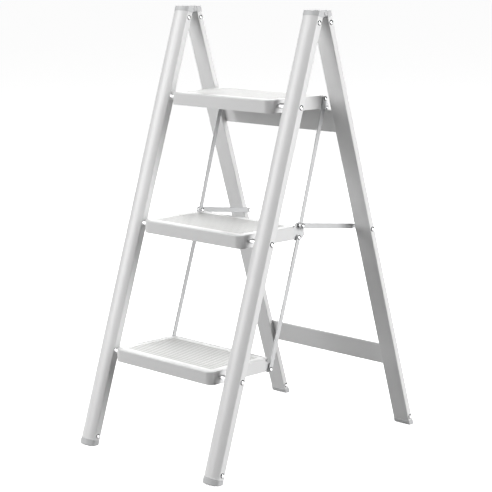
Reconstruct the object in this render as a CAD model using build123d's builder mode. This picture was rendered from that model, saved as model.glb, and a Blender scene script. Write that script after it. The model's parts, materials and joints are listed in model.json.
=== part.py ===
"""Three-step folding step stool: an A-frame of two tube frames hinged at the top, three tip-up steps
in the front frame, flat link bars that tip the steps together, and two arms that tie the middle step
to the rear frame. Modelled standing open. +Z is up, the user faces +Y, the origin is on the floor at
the middle of the footprint. Millimetres."""

import os
from math import asin, cos, hypot, radians, sin, tan

from build123d import *

os.makedirs("parts", exist_ok=True)

# ---- driving dimensions -----------------------------------------------------------------------------
LEAN = 17.4  # angle of each frame from the vertical when open
RIVET_HEIGHT = 804.0  # height of the top rivets above the floor
CAP_RISE = 22.0  # top of the hinge caps above the top rivets
RIVET_GAP = 31.6  # front to rear distance between the top rivets when open
HINGE_RISE = 16.0  # hinge axis above the top rivets

FRAME_HALF = 189.0  # half of the width over the rails
RAIL_WIDTH = 39.0
RAIL_FLAT = 12.0  # depth of the flat side of a rail, and of a rear leg
RAIL_BULGE = 5.5  # height of the curved front of a front rail
WALL = 1.4
TUBE_START = -11.0  # distances along a rail, measured down from its top rivet
TUBE_END = 832.0
SHOULDER_EASE = 3.0  # corner radii of a front rail, ahead and behind, and of a rear leg, outside and in
BACK_EASE = 1.5
LEG_EASE = 1.6
BORE_EASE = 0.8
FOOT_RIVET_AT = 824.0
FIRST_PIVOT_AT = 156.0
STEP_SPACING = 250.0
LOWER_BAR_AT = 668.5  # upper edge of the lower cross bar

STEP_HALF = 132.0  # half of the width of a step
STEP_FRONT = 22.0  # front of a step ahead of its pivot
STEP_REAR = 133.0  # back of a step behind its pivot
STEP_TOP = 11.5  # deck above the pivot
SKIRT = 24.5
PAN_WALL = 1.3
PAN_DECK = 2.6
PAN_CORNER = 15.0
PAN_EDGE = 2.4  # radius between deck and skirt
TREAD_INSET = 8.5
TREAD_DEPTH = 1.2
TREAD_GAP = 0.15
RIB_COUNT = 14
RIB_HEIGHT = 0.8
RIB_MARGIN = 9.5  # plain border of the tread round its ribs
RIB_SHARE = 0.55  # width of a rib as a share of the pitch

UPPER_PIN = (134.0, 12.5)  # back from and above the step pivot
LOWER_PIN = (129.0, -9.5)
TOP_PIN_DROP = 6.9  # the top step's link pin lies this far below the middle step's
STOP_PIN = (134.0, -12.0)  # pin of the top step that comes down over the upper cross bar

LINK_INNER = 132.6  # the layers between a step and a rail, as distances from the middle plane
LINK_THICK = 2.5
ARM_INNER = 137.6
ARM_THICK = 3.0
COLLAR_INNER = 139.4
PLATE_THICK = 2.0
BAR_WIDTH = 9.5  # width of a link bar
ARM_WIDTH = 10.0

LOOSE = 0.1  # running clearance on a pin, measured on the radius
OPEN_FIT = 0.35  # clearance where a bar drops over a pin of another chain
AIR = 0.3  # gap between pieces that pass each other

# ---- positions worked out from them -----------------------------------------------------------------
SIN = sin(radians(LEAN))
COS = cos(radians(LEAN))
TAN = tan(radians(LEAN))
FOOT_GROW = 0.8  # how far a foot or a cap stands proud of its tube
CAP_GROW = 0.5
BULGE_REACH = RAIL_FLAT / 2 + RAIL_BULGE + FOOT_GROW
BACK_REACH = RAIL_FLAT / 2 + FOOT_GROW
# the front and rear toes are equally far from the origin
TOP_Y = (BULGE_REACH / COS - BACK_REACH / COS - RIVET_GAP) / 2
TOP_Z = RIVET_HEIGHT
HINGE_Y = TOP_Y + RIVET_GAP / 2
HINGE_Z = TOP_Z + HINGE_RISE
RAIL_INNER = FRAME_HALF - RAIL_WIDTH
RAIL_MID = FRAME_HALF - RAIL_WIDTH / 2
SIDES = {"left": -1, "right": 1}
# along half of the tip angle the upper link keeps the same length open and folded flat
HALF_TIP = radians(90 - LEAN) / 2
TOP_PIN = (UPPER_PIN[0] - TOP_PIN_DROP / tan(HALF_TIP), UPPER_PIN[1] - TOP_PIN_DROP)


def rail_point(distance, back=0.0):
    """Point (y, z) at a distance down a front rail, and some way behind its rivet line."""
    return (TOP_Y - distance * SIN + back * COS, TOP_Z - distance * COS - back * SIN)


def leg_point(distance, back=0.0):
    """Point (y, z) at a distance down a rear leg, and some way behind its rivet line."""
    return (TOP_Y + RIVET_GAP + distance * SIN + back * COS, TOP_Z - distance * COS + back * SIN)


def rail_plane(x, distance=0.0):
    """Cross-section plane of a front rail: local X is world X, local Y faces the user, Z runs down."""
    y, z = rail_point(distance)
    return Plane(origin=(x, y, z), x_dir=(1, 0, 0), z_dir=(0, -SIN, -COS))


def leg_plane(x, distance=0.0):
    """Cross-section plane of a rear leg, laid out like rail_plane."""
    y, z = leg_point(distance)
    return Plane(origin=(x, y, z), x_dir=(1, 0, 0), z_dir=(0, SIN, -COS))


def side_plane(x, y, z, run=(0, 1, 0)):
    """Plane square to X, with its local X along run."""
    return Plane(origin=(x, y, z), x_dir=run, z_dir=(1, 0, 0))


STEP_NAMES = ("top", "middle", "bottom")
PIVOTS = {
    name: rail_point(FIRST_PIVOT_AT + number * STEP_SPACING) for number, name in enumerate(STEP_NAMES)
}


def arm_anchor_distance():
    """Distance down the rear leg at which the arm has the same length open and folded flat."""
    hinge_offset = RIVET_GAP / 2 * COS - HINGE_RISE * SIN
    hinge_ahead = RIVET_GAP / 2 * SIN + HINGE_RISE * COS
    pivot_y, pivot_z = PIVOTS["middle"]
    open_y = pivot_y + UPPER_PIN[0] - HINGE_Y
    open_z = pivot_z + UPPER_PIN[1] - HINGE_Z
    along_open = open_y * SIN - open_z * COS
    across_open = open_y * COS + open_z * SIN
    along_shut = FIRST_PIVOT_AT + STEP_SPACING + hinge_ahead - UPPER_PIN[0]
    across_shut = -UPPER_PIN[1] - hinge_offset
    square_open = open_y**2 + open_z**2
    square_shut = along_shut**2 + across_shut**2
    across = 2 * hinge_offset * (across_open - across_shut)
    from_hinge = (square_open - square_shut - across) / (2 * (along_open - along_shut))
    return from_hinge - hinge_ahead


ANCHOR_AT = arm_anchor_distance()
ANCHOR = leg_point(ANCHOR_AT)


# ---- shared shapes ----------------------------------------------------------------------------------
def d_section(plane, grow=0.0):
    """Section of a front rail: flat back and sides, curved front, grown outwards by grow."""
    half = RAIL_WIDTH / 2 + grow
    back = -RAIL_FLAT / 2 - grow
    shoulder = RAIL_FLAT / 2 + grow / 2
    crown = RAIL_FLAT / 2 + RAIL_BULGE + grow
    with BuildSketch(plane) as section:
        with BuildLine():
            Polyline((-half, shoulder), (-half, back), (half, back), (half, shoulder))
            ThreePointArc((half, shoulder), (0, crown), (-half, shoulder))
        make_face()
        corners = section.vertices().sort_by(Axis.Y)
        fillet(corners[-2:], radius=SHOULDER_EASE)
        fillet(corners[:2], radius=BACK_EASE)
    return section.sketch


def leg_section(plane, grow=0.0):
    """Section of a rear leg: a flat rectangular tube with eased corners."""
    with BuildSketch(plane) as section:
        RectangleRounded(RAIL_WIDTH + 2 * grow, RAIL_FLAT + 2 * grow, radius=LEG_EASE)
    return section.sketch


def leg_bore(plane, gap=0.0):
    """Section inside a rear leg's walls, drawn in by gap."""
    inset = 2 * (WALL + gap)
    with BuildSketch(plane) as section:
        RectangleRounded(RAIL_WIDTH - inset, RAIL_FLAT - inset, radius=BORE_EASE)
    return section.sketch


def dome_middle(radius, rise):
    """Point (rise, radius) half-way up the side of a spherical dome."""
    ball = (radius**2 + rise**2) / (2 * rise)
    half_turn = asin(radius / ball) / 2
    return (rise - ball + ball * cos(half_turn), ball * sin(half_turn))


RIVET_SHANK = 2.5
RIVET_HEAD = (4.6, 2.2)  # radius and rise of a dome
RIVET_TAIL = (4.2, 1.8)


def rivet_section(x, y, z, length, shank, head, tail):
    """Half section of a domed rivet along X, its shank from x to x + length, its head at the far end."""
    plane = Plane(origin=(x, y, z), x_dir=(1, 0, 0), z_dir=(0, -1, 0))
    head_radius, head_rise = head
    tail_radius, tail_rise = tail
    head_out, head_up = dome_middle(head_radius, head_rise)
    tail_out, tail_up = dome_middle(tail_radius, tail_rise)
    far = length + head_rise
    with BuildSketch(plane) as section:
        with BuildLine():
            Line((-tail_rise, 0), (far, 0))
            ThreePointArc((far, 0), (length + head_out, head_up), (length, head_radius))
            Polyline((length, head_radius), (length, shank), (0, shank), (0, tail_radius))
            ThreePointArc((0, tail_radius), (-tail_out, tail_up), (-tail_rise, 0))
        make_face()
    return section.sketch


def add_rivet(x, y, z, length, shank=RIVET_SHANK, head=RIVET_HEAD, tail=RIVET_TAIL):
    """Add one domed rivet along X to the part being built."""
    section = rivet_section(x, y, z, length, shank, head, tail)
    revolve(section, Axis((x, y, z), (1, 0, 0)))


def drill(x, y, z, length, radius):
    """Cut one hole along X, centred on (x, y, z)."""
    with Locations(Location((x, y, z), (0, 90, 0))):
        Cylinder(radius, length, mode=Mode.SUBTRACT)


def finish(builder, name):
    """Label one finished piece and write it."""
    builder.part.label = name
    export_step(builder.part, f"parts/{name}.step")


# ---- tubes ------------------------------------------------------------------------------------------
PIVOT_SHANK = 3.0
TUBE_LENGTH = TUBE_END - TUBE_START

for side, sign in SIDES.items():
    mid = sign * RAIL_MID

    with BuildPart() as front_rail:
        top = rail_plane(mid, TUBE_START)
        extrude(d_section(top), amount=TUBE_LENGTH)
        extrude(d_section(top, -WALL), amount=TUBE_LENGTH, mode=Mode.SUBTRACT)
        for distance in (0.0, FOOT_RIVET_AT):
            drill(mid, *rail_point(distance), 2 * RAIL_WIDTH, RIVET_SHANK)
        for pivot in PIVOTS.values():
            drill(mid, *pivot, 2 * RAIL_WIDTH, PIVOT_SHANK)
    finish(front_rail, f"front_rail_{side}")

    with BuildPart() as rear_leg:
        top = leg_plane(mid, TUBE_START)
        extrude(leg_section(top), amount=TUBE_LENGTH)
        extrude(leg_bore(top), amount=TUBE_LENGTH, mode=Mode.SUBTRACT)
        for distance in (0.0, FOOT_RIVET_AT):
            drill(mid, *leg_point(distance), 2 * RAIL_WIDTH, RIVET_SHANK)
        drill(sign * FRAME_HALF, *ANCHOR, RAIL_WIDTH, RIVET_SHANK)
    finish(rear_leg, f"rear_leg_{side}")

# ---- feet: a boot below each tube with a plug up inside it, trimmed level with the floor ------------
PLUG_LENGTH = 34.0
PLUG_GAP = 0.05
GROOVE = 2.0  # width of the grip grooves in a sole
GROOVE_DEPTH = 1.0
GROOVE_PITCH = 6.5
GROOVE_COUNT = 5
BOOT_REACH = 40.0  # rough length of a boot before it is trimmed
BOX = 100.0


def trim_below_floor(x, y):
    """Cut everything under the floor and the grip grooves in the sole above it."""
    with Locations((x, y, -BOX / 2)):
        Box(BOX, BOX, BOX, mode=Mode.SUBTRACT)
    with Locations((x, y, 0)):
        with GridLocations(GROOVE_PITCH, 0, GROOVE_COUNT, 1):
            Box(GROOVE, BOX, 2 * GROOVE_DEPTH, mode=Mode.SUBTRACT)


for side, sign in SIDES.items():
    mid = sign * RAIL_MID

    with BuildPart() as front_foot:
        collar = rail_plane(mid, TUBE_END)
        extrude(d_section(collar, FOOT_GROW), amount=BOOT_REACH)
        extrude(d_section(collar, -WALL - PLUG_GAP), amount=-PLUG_LENGTH)
        trim_below_floor(mid, rail_point(TUBE_END)[0])
        drill(mid, *rail_point(FOOT_RIVET_AT), 2 * RAIL_WIDTH, RIVET_SHANK)
    finish(front_foot, f"front_foot_{side}")

    with BuildPart() as rear_foot:
        collar = leg_plane(mid, TUBE_END)
        extrude(leg_section(collar, FOOT_GROW), amount=BOOT_REACH)
        extrude(leg_bore(collar, PLUG_GAP), amount=-PLUG_LENGTH)
        trim_below_floor(mid, leg_point(TUBE_END)[0])
        drill(mid, *leg_point(FOOT_RIVET_AT), 2 * RAIL_WIDTH, RIVET_SHANK)
    finish(rear_foot, f"rear_foot_{side}")

# ---- hinge caps: a head on each tube with interleaved knuckles round one pin ------------------------
KNUCKLE = 5.0
KNUCKLE_ROOM = KNUCKLE + 0.5
KNUCKLE_ROOT = 1.0  # how far a knuckle's web runs on into the head
HINGE_SHANK = 2.5
OUTER_KNUCKLE = 9.0  # length of each of the front cap's two knuckles
HINGE_HEAD = (3.9, 1.8)
KNUCKLE_GAP = 0.4
CAP_END = FRAME_HALF - RAIL_MID + CAP_GROW  # half length of the knuckle row
MIDDLE_HALF = CAP_END - OUTER_KNUCKLE - KNUCKLE_GAP
CAP_REACH = 36.0
CAP_TOP = TOP_Z + CAP_RISE


def knuckle(x, length, web_y):
    """Add one knuckle round the hinge axis, with a web that joins it to the head at web_y."""
    with Locations(Location((x, HINGE_Y, HINGE_Z), (0, 90, 0))):
        Cylinder(KNUCKLE, length)
    with Locations((x, (HINGE_Y + web_y) / 2, HINGE_Z - KNUCKLE / 2)):
        Box(length, abs(HINGE_Y - web_y), KNUCKLE)


def clear_knuckle(x, length):
    """Cut the room that a neighbouring knuckle turns in."""
    with Locations(Location((x, HINGE_Y, HINGE_Z), (0, 90, 0))):
        Cylinder(KNUCKLE_ROOM, length, mode=Mode.SUBTRACT)


def trim_cap_top(x):
    """Cut the cap level at its top."""
    with Locations((x, HINGE_Y, CAP_TOP + BOX / 2)):
        Box(BOX, BOX, BOX, mode=Mode.SUBTRACT)


outer_offset = CAP_END - OUTER_KNUCKLE / 2
outer_room = OUTER_KNUCKLE + 2 * KNUCKLE_GAP
middle_room = 2 * MIDDLE_HALF + 2 * KNUCKLE_GAP

for side, sign in SIDES.items():
    mid = sign * RAIL_MID

    with BuildPart() as front_cap:
        rim = rail_plane(mid, TUBE_START)
        extrude(d_section(rim, CAP_GROW), amount=-CAP_REACH)
        extrude(d_section(rim, -WALL - PLUG_GAP), amount=PLUG_LENGTH)
        clear_knuckle(mid, middle_room)
        for offset in (-outer_offset, outer_offset):
            knuckle(mid + offset, OUTER_KNUCKLE, HINGE_Y - KNUCKLE - KNUCKLE_ROOT)
        trim_cap_top(mid)
        drill(mid, HINGE_Y, HINGE_Z, BOX, HINGE_SHANK)
        drill(mid, *rail_point(0.0), 2 * RAIL_WIDTH, RIVET_SHANK)
    finish(front_cap, f"front_cap_{side}")

    with BuildPart() as rear_cap:
        rim = leg_plane(mid, TUBE_START)
        extrude(leg_section(rim, CAP_GROW), amount=-CAP_REACH)
        extrude(leg_bore(rim, PLUG_GAP), amount=PLUG_LENGTH)
        for offset in (-outer_offset, outer_offset):
            clear_knuckle(mid + offset, outer_room)
        knuckle(mid, 2 * MIDDLE_HALF, HINGE_Y + KNUCKLE + KNUCKLE_ROOT)
        trim_cap_top(mid)
        drill(mid, HINGE_Y, HINGE_Z, BOX, HINGE_SHANK + LOOSE)
        drill(mid, *leg_point(0.0), 2 * RAIL_WIDTH, RIVET_SHANK)
    finish(rear_cap, f"rear_cap_{side}")


# ---- rivets and pins that run through a tube --------------------------------------------------------
def tube_rivets(name, point):
    """One rivet through both side walls of each of two tubes."""
    with BuildPart() as rivets:
        add_rivet(RAIL_INNER, *point, RAIL_WIDTH)
        mirror(about=Plane.YZ)
    finish(rivets, name)


tube_rivets("front_cap_rivets", rail_point(0.0))
tube_rivets("front_foot_rivets", rail_point(FOOT_RIVET_AT))
tube_rivets("rear_cap_rivets", leg_point(0.0))
tube_rivets("rear_foot_rivets", leg_point(FOOT_RIVET_AT))

with BuildPart() as hinge_pins:
    add_rivet(RAIL_MID - CAP_END, HINGE_Y, HINGE_Z, 2 * CAP_END, HINGE_SHANK, HINGE_HEAD, HINGE_HEAD)
    mirror(about=Plane.YZ)
finish(hinge_pins, "hinge_pins")

PIVOT_START = STEP_HALF - PAN_WALL - LOOSE  # inner end of a step pivot's shank
PIVOT_HEAD = (4.8, 2.2)
PIVOT_TAIL = (5.0, 2.0)
with BuildPart() as step_pivot_rivets:
    for pivot in PIVOTS.values():
        add_rivet(PIVOT_START, *pivot, FRAME_HALF - PIVOT_START, PIVOT_SHANK, PIVOT_HEAD, PIVOT_TAIL)
    mirror(about=Plane.YZ)
finish(step_pivot_rivets, "step_pivot_rivets")

COLLAR = 5.5
SLEEVE = 4.0
SLEEVE_INNER = STEP_HALF + LOOSE
with BuildPart() as pivot_spacers:
    for pivot in PIVOTS.values():
        with BuildSketch(side_plane(SLEEVE_INNER, *pivot)):
            Circle(SLEEVE)
        extrude(amount=RAIL_INNER - SLEEVE_INNER)
        with BuildSketch(side_plane(COLLAR_INNER, *pivot)):
            Circle(COLLAR)
        extrude(amount=RAIL_INNER - COLLAR_INNER)
        drill(RAIL_INNER, *pivot, BOX, PIVOT_SHANK)
    mirror(about=Plane.YZ)
finish(pivot_spacers, "pivot_spacers")

ANCHOR_TAIL = (4.0, WALL)
with BuildPart() as arm_anchor_rivets:
    add_rivet(RAIL_INNER + 2 * WALL, *ANCHOR, RAIL_WIDTH - 2 * WALL, tail=ANCHOR_TAIL)
    mirror(about=Plane.YZ)
finish(arm_anchor_rivets, "arm_anchor_rivets")

# ---- cross bars of the rear frame, and the pads on which the top step rests -------------------------
BAR_FRONT = 2.2  # front of a bar behind the legs' rivet line
BAR_THICK = 3.8
BAR_TUBE_WALL = 1.2
BAR_HEIGHT = 45.0
BAR_EASE = 1.5  # corner radii, outside and in
BAR_BORE_EASE = 0.5
PAD_RISE = 1.6
PAD_ROOM = 3.0  # drop from the top step's hem to the upper bar, which leaves room for the sloping pads
PAD_LENGTH = 24.0
PAD_EASE = 1.2
PAD_X = 95.0
top_pivot_y, top_pivot_z = PIVOTS["top"]
skirt_bottom_z = top_pivot_z + STEP_TOP - SKIRT
upper_bar_at = (TOP_Z - skirt_bottom_z + AIR + PAD_ROOM) / COS + BAR_FRONT * TAN


def cross_bar(distance, name):
    """A flat oval tube between the rear legs, its upper edge at a distance down the legs."""
    y, z = leg_point(distance + BAR_HEIGHT / 2, BAR_FRONT + BAR_THICK / 2)
    plane = Plane(origin=(-RAIL_INNER, y, z), x_dir=(0, -COS, -SIN), z_dir=(1, 0, 0))
    bore_thick = BAR_THICK - 2 * BAR_TUBE_WALL
    bore_height = BAR_HEIGHT - 2 * BAR_TUBE_WALL
    with BuildPart() as bar:
        with BuildSketch(plane):
            RectangleRounded(BAR_THICK, BAR_HEIGHT, radius=BAR_EASE)
            RectangleRounded(bore_thick, bore_height, radius=BAR_BORE_EASE, mode=Mode.SUBTRACT)
        extrude(amount=2 * RAIL_INNER)
    finish(bar, name)


cross_bar(upper_bar_at, "upper_cross_bar")
cross_bar(LOWER_BAR_AT, "lower_cross_bar")

pad_y, pad_z = leg_point(upper_bar_at, BAR_FRONT + BAR_THICK / 2)
pad_plane = Plane(origin=(0, pad_y, pad_z), x_dir=(1, 0, 0), z_dir=(0, -SIN, COS))
with BuildPart() as step_rest_pads:
    for x in (-PAD_X, PAD_X):
        with BuildSketch(pad_plane):
            with Locations((x, 0)):
                RectangleRounded(PAD_LENGTH, BAR_THICK, radius=PAD_EASE)
        extrude(amount=PAD_RISE)
finish(step_rest_pads, "step_rest_pads")

# ---- steps ------------------------------------------------------------------------------------------
NOTCH_X = 126.5  # the notch in each rear corner leaves room for the bracket and the link
NOTCH_Y = STEP_REAR - PAN_CORNER
HEM = 3.0
HEM_FOLD = 1.2
STEP_MID = (STEP_REAR - STEP_FRONT) / 2
STEP_DEPTH = STEP_REAR + STEP_FRONT


def step_outline(plane, inset=0.0):
    """Rounded rectangle of a step, drawn in from its edge by inset."""
    with BuildSketch(plane) as outline:
        with Locations((0, STEP_MID)):
            RectangleRounded(2 * (STEP_HALF - inset), STEP_DEPTH - 2 * inset, radius=PAN_CORNER - inset)
    return outline.sketch


def step_pan(name, pivot, notch_rise):
    """Pressed pan: deck with a shallow tray for the tread, skirt all round with a hem, open below.
    Its rear corners are notched from the hem up to notch_rise above the pivot."""
    y, z = pivot
    skirt_bottom = Plane(origin=(0, y, z + STEP_TOP - SKIRT))
    deck_top = Plane(origin=(0, y, z + STEP_TOP))
    with BuildPart() as pan:
        extrude(step_outline(skirt_bottom), amount=SKIRT)
        fillet(pan.faces().sort_by(Axis.Z)[-1].edges(), radius=PAN_EDGE)
        extrude(step_outline(skirt_bottom, PAN_WALL + HEM_FOLD), amount=SKIRT - PAN_DECK, mode=Mode.SUBTRACT)
        hollow = skirt_bottom.offset(HEM)
        extrude(step_outline(hollow, PAN_WALL), amount=SKIRT - PAN_DECK - HEM, mode=Mode.SUBTRACT)
        extrude(step_outline(deck_top, TREAD_INSET), amount=-TREAD_DEPTH, mode=Mode.SUBTRACT)
        for sign in SIDES.values():
            with Locations((sign * (NOTCH_X + BOX / 2), y + NOTCH_Y + BOX / 2, z + notch_rise - BOX / 2)):
                Box(BOX, BOX, BOX, mode=Mode.SUBTRACT)
        drill(0, y, z, 3 * FRAME_HALF, PIVOT_SHANK + LOOSE)
    finish(pan, name)


def step_tread(name, pivot):
    """Ribbed anti-slip plate that lies in the pan's tray."""
    y, z = pivot
    tray_floor = Plane(origin=(0, y, z + STEP_TOP - TREAD_DEPTH))
    edge = TREAD_INSET + TREAD_GAP
    rib_inset = edge + RIB_MARGIN
    pitch = (STEP_DEPTH - 2 * rib_inset) / RIB_COUNT
    with BuildPart() as tread:
        extrude(step_outline(tray_floor, edge), amount=TREAD_DEPTH)
        with BuildSketch(tray_floor.offset(TREAD_DEPTH)):
            with Locations((0, STEP_MID)):
                with GridLocations(0, pitch, 1, RIB_COUNT):
                    SlotOverall(2 * (STEP_HALF - rib_inset), RIB_SHARE * pitch)
        extrude(amount=RIB_HEIGHT)
    finish(tread, name)


STIFFENER_Y = 62.0
STIFFENER_TOP = STEP_TOP - PAN_DECK
STIFFENER_DEPTH = 11.0
STIFFENER_WEB = 26.0
FLANGE = 9.0
SHEET = 1.2


def step_stiffener(name, pivot):
    """Hat-section channel welded under the deck, from one side skirt to the other."""
    y, z = pivot
    half = STEP_HALF - PAN_WALL
    plane = side_plane(-half, y + STIFFENER_Y, z + STIFFENER_TOP)
    flange_mid = (STIFFENER_WEB + FLANGE) / 2 - SHEET
    with BuildPart() as stiffener:
        with BuildSketch(plane):
            with Locations((0, -STIFFENER_DEPTH / 2)):
                Rectangle(STIFFENER_WEB, STIFFENER_DEPTH)
            with Locations((0, -STIFFENER_DEPTH / 2 + SHEET / 2)):
                Rectangle(STIFFENER_WEB - 2 * SHEET, STIFFENER_DEPTH - SHEET, mode=Mode.SUBTRACT)
            with Locations((-flange_mid, -SHEET / 2), (flange_mid, -SHEET / 2)):
                Rectangle(FLANGE, SHEET)
        extrude(amount=2 * half)
    finish(stiffener, name)


# the top step's notches stop under its deck; the others are open to the top for the higher pins
NOTCH_RISE = {"top": STEP_TOP - PAN_DECK, "middle": STEP_TOP, "bottom": STEP_TOP}
for name in STEP_NAMES:
    step_pan(f"step_pan_{name}", PIVOTS[name], NOTCH_RISE[name])
    step_tread(f"step_tread_{name}", PIVOTS[name])
    step_stiffener(f"step_stiffener_{name}", PIVOTS[name])

# ---- brackets behind the steps' rear corners, flat against the inside of the skirts ------------------
PLATE_OUTER = STEP_HALF - PAN_WALL
PIN = 2.5
FIXED_END = [(119, -8), (98, -8), (98, 7), (119, 7)]  # the part of each plate that is welded to the skirt
TOP_OUTLINE = [*FIXED_END, (122, 8.4), (130, 8.4), (138.5, -7), (138.5, -15.5), (129, -15.5), (122, -8)]
BOTH_OUTLINE = [*FIXED_END, (127, 18), (137, 18), (147, 4), (148, -8), (140, -15), (123, -15)]
LOWER_OUTLINE = [*FIXED_END, (124, 5), (136, -2), (136, -15), (123, -15)]
PLATE_EASE = 3.0


def bracket(name, side, pivot, outline, pins):
    """Flat plate in the side plane, outlined round its pin holes."""
    y, z = pivot
    sign = SIDES[side]
    plane = side_plane(sign * (PLATE_OUTER - PLATE_THICK / 2), y, z)
    with BuildPart() as plate:
        with BuildSketch(plane) as face:
            with BuildLine():
                Polyline(*outline, close=True)
            make_face()
            fillet(face.vertices(), radius=PLATE_EASE)
            with Locations(*pins):
                Circle(PIN, mode=Mode.SUBTRACT)
        extrude(amount=PLATE_THICK / 2, both=True)
    finish(plate, f"{name}_{side}")


for side in SIDES:
    bracket("top_bracket", side, PIVOTS["top"], TOP_OUTLINE, [TOP_PIN, STOP_PIN])
    bracket("middle_bracket", side, PIVOTS["middle"], BOTH_OUTLINE, [UPPER_PIN, LOWER_PIN])
    bracket("bottom_bracket", side, PIVOTS["bottom"], LOWER_OUTLINE, [LOWER_PIN])


# ---- link bars and arms -----------------------------------------------------------------------------
BAR_CHAMFER = 0.5


def flat_bar(name, start, end, inner, thickness, width, end_hole):
    """Flat bar with round ends, a running hole at its start and a hole of radius end_hole at its end."""
    run_y = end[0] - start[0]
    run_z = end[1] - start[1]
    length = hypot(run_y, run_z)
    for side, sign in SIDES.items():
        x = sign * (inner + thickness / 2)
        plane = side_plane(x, *start, run=(0, run_y / length, run_z / length))
        with BuildPart() as bar:
            with BuildSketch(plane):
                with Locations((length / 2, 0)):
                    SlotCenterToCenter(length, width)
                Circle(PIN + LOOSE, mode=Mode.SUBTRACT)
                with Locations((length, 0)):
                    Circle(end_hole, mode=Mode.SUBTRACT)
            extrude(amount=thickness / 2, both=True)
            chamfer(bar.edges().filter_by(Axis(plane.origin, plane.x_dir)), length=BAR_CHAMFER)
        finish(bar, f"{name}_{side}")


def pin_point(step, pin):
    """Place (y, z) of a bracket pin on a step."""
    return (PIVOTS[step][0] + pin[0], PIVOTS[step][1] + pin[1])


middle_upper = pin_point("middle", UPPER_PIN)
middle_lower = pin_point("middle", LOWER_PIN)
top_link = pin_point("top", TOP_PIN)
bottom_lower = pin_point("bottom", LOWER_PIN)

flat_bar("upper_link", middle_upper, top_link, LINK_INNER, LINK_THICK, BAR_WIDTH, PIN)
flat_bar("lower_link", middle_lower, bottom_lower, LINK_INNER, LINK_THICK, BAR_WIDTH, PIN + OPEN_FIT)
flat_bar("spreader_arm", middle_upper, ANCHOR, ARM_INNER, ARM_THICK, ARM_WIDTH, PIN)

# ---- pins of the links and arms ---------------------------------------------------------------------
PLATE_INNER = PLATE_OUTER - PLATE_THICK
LINK_OUTER = LINK_INNER + LINK_THICK
ARM_OUTER = ARM_INNER + ARM_THICK
PIN_HEAD = (4.2, 1.8)
WASHER = 4.6


def bracket_pins(name, point, outer, head=PIN_HEAD):
    """A pair of domed pins from inside a bracket out to the distance outer."""
    with BuildPart() as pins:
        add_rivet(PLATE_INNER, *point, outer - PLATE_INNER, PIN, head, head)
        mirror(about=Plane.YZ)
    finish(pins, name)


SMALL_HEAD = (3.2, 1.6)
bracket_pins("top_stop_pins", pin_point("top", STOP_PIN), PLATE_OUTER, SMALL_HEAD)
bracket_pins("middle_link_pins", middle_upper, ARM_OUTER + AIR)
bracket_pins("middle_lower_pins", middle_lower, LINK_OUTER + AIR)
bracket_pins("bottom_link_pins", bottom_lower, LINK_OUTER + AIR)

with BuildPart() as top_link_pins:
    with BuildSketch(side_plane(PLATE_INNER, *top_link)):
        Circle(PIN)
    extrude(amount=PLATE_THICK)
    with BuildSketch(side_plane(PLATE_INNER, *top_link)):
        Circle(SMALL_HEAD[0])
    extrude(amount=-SMALL_HEAD[1])
    mirror(about=Plane.YZ)
finish(top_link_pins, "top_link_pins")

# each upper link carries its own top pin, which stops short of the bracket
HEAD_RADIUS, HEAD_RISE = PIN_HEAD
for side, sign in SIDES.items():
    with BuildPart() as upper_link_pin:
        with BuildSketch(side_plane(sign * (PLATE_OUTER + AIR), *top_link)):
            Circle(PIN)
        extrude(amount=sign * (LINK_OUTER - PLATE_OUTER - AIR))
        with BuildSketch(side_plane(sign * LINK_OUTER, *top_link)):
            Circle(HEAD_RADIUS)
        extrude(amount=sign * HEAD_RISE)
    finish(upper_link_pin, f"upper_link_pin_{side}")

with BuildPart() as arm_washers:
    with BuildSketch(side_plane(LINK_OUTER + AIR, *middle_upper)):
        Circle(WASHER)
        Circle(PIN, mode=Mode.SUBTRACT)
    extrude(amount=ARM_INNER - LINK_OUTER - 2 * AIR)
    mirror(about=Plane.YZ)
finish(arm_washers, "arm_washers")

STUB = 4.5  # shoulder of an arm's end pin
STUB_HEAD = 4.0
STUB_HEAD_RISE = 1.5
for side, sign in SIDES.items():
    with BuildPart() as arm_end_pin:
        with BuildSketch(side_plane(sign * ARM_INNER, *ANCHOR)):
            Circle(PIN)
        extrude(amount=sign * ARM_THICK)
        with BuildSketch(side_plane(sign * ARM_OUTER, *ANCHOR)):
            Circle(STUB)
        extrude(amount=sign * (RAIL_INNER - AIR - ARM_OUTER))
        with BuildSketch(side_plane(sign * ARM_INNER, *ANCHOR)):
            Circle(STUB_HEAD)
        extrude(amount=-sign * STUB_HEAD_RISE)
    finish(arm_end_pin, f"arm_end_pin_{side}")
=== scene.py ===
"""Looks of a three-step folding step stool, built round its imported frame.

The tube frames, steps, brackets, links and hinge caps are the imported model's own nodes, dressed
here in powder coat, silver coat and moulded plastic. The treads, boots, rivets and weld beads are
made here as numpy surfaces, because they carry ribs, soles and domes that deserve a finer mesh.
Metres; +Z up; the user faces +Y; the origin is on the floor in the middle of the footprint.
"""

from __future__ import annotations

import json
import logging
import math
from dataclasses import dataclass
from enum import Enum
from typing import Any, ClassVar, Mapping, Optional, Sequence, Union

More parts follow.
